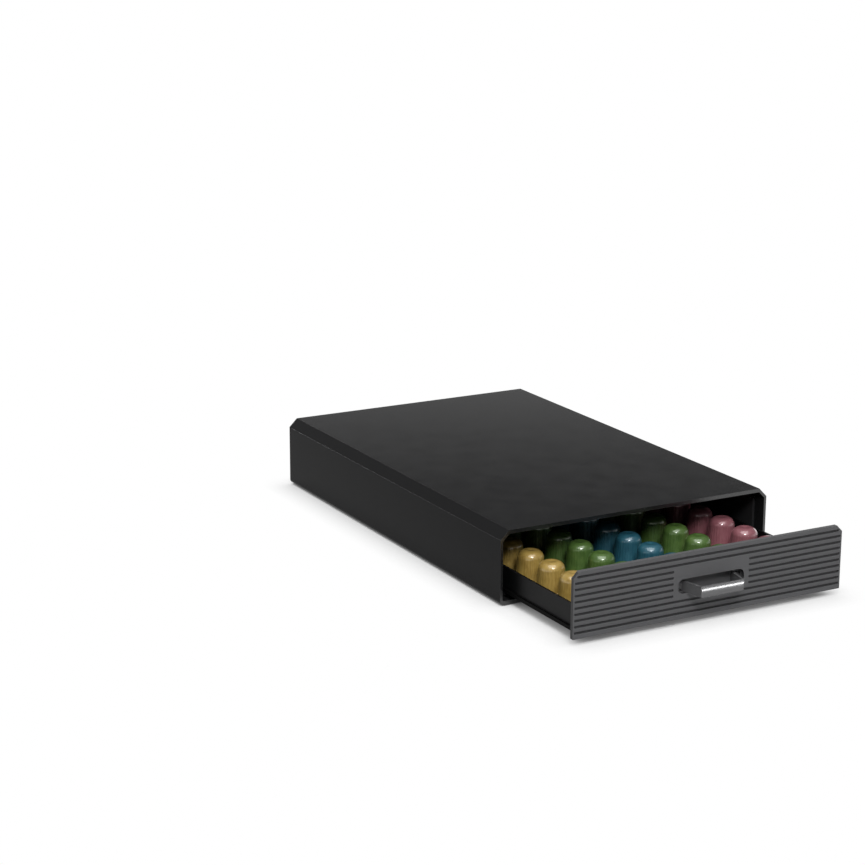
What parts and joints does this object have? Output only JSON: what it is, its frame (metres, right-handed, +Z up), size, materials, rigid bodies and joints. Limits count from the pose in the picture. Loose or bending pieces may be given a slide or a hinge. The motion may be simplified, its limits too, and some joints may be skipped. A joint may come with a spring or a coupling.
{
  "type": "coffee pod drawer",
  "caption": "Low black case with a flat roof for a coffee machine and a sliding tray of upside-down coffee capsules behind a fluted grey front with a metal pull.",
  "frame": {"origin": "middle of the flat underside of the case's floor; the feet stand 1 mm below it", "axes": "+X to the right seen from the front, +Y from the drawer front to the back, +Z up"},
  "size_m": [0.305, 0.6006, 0.074],
  "materials": {
    "case_black": "satin, fine moulded grain",
    "guide_black": "smooth matte",
    "rubber_black": "matte",
    "tray_charcoal": "satin",
    "runner_charcoal": "smooth satin",
    "insert_black": "satin",
    "front_charcoal": "satin, fluted",
    "cup_charcoal": "satin",
    "pull_metal": "dark satin metal",
    "screw_steel": "bright",
    "pod_amber": "glossy lacquer",
    "pod_green": "glossy lacquer",
    "pod_blue": "glossy lacquer",
    "pod_pink": "glossy lacquer",
    "foil": "plain foil"
  },
  "bodies": {
    "case": {"case_sleeve": "case_black", "back_plate": "case_black", "back_screws": "screw_steel", "guide_left": "guide_black", "guide_right": "guide_black", "guide_screws": "screw_steel", "pull_out_stops": "guide_black", "rear_buffers": "rubber_black", "feet": "rubber_black"},
    "drawer": {"tray": "tray_charcoal", "runner_left": "runner_charcoal", "runner_right": "runner_charcoal", "runner_screws": "screw_steel", "seat_insert": "insert_black", "drawer_front": "front_charcoal", "front_screws": "screw_steel", "pull_cup": "cup_charcoal", "pull_band": "pull_metal", "pull_screws": "screw_steel", "pods_amber": "pod_amber", "pods_green_left": "pod_green", "pods_blue": "pod_blue", "pods_green_right": "pod_green", "pods_pink": "pod_pink", "pod_foils": "foil"}
  },
  "joints": [
    {"name": "drawer_slide", "type": "slide", "parent": "case", "child": "drawer", "axis": [0, -1, 0], "range_m": [-0.122, 0.15]}
  ]
}
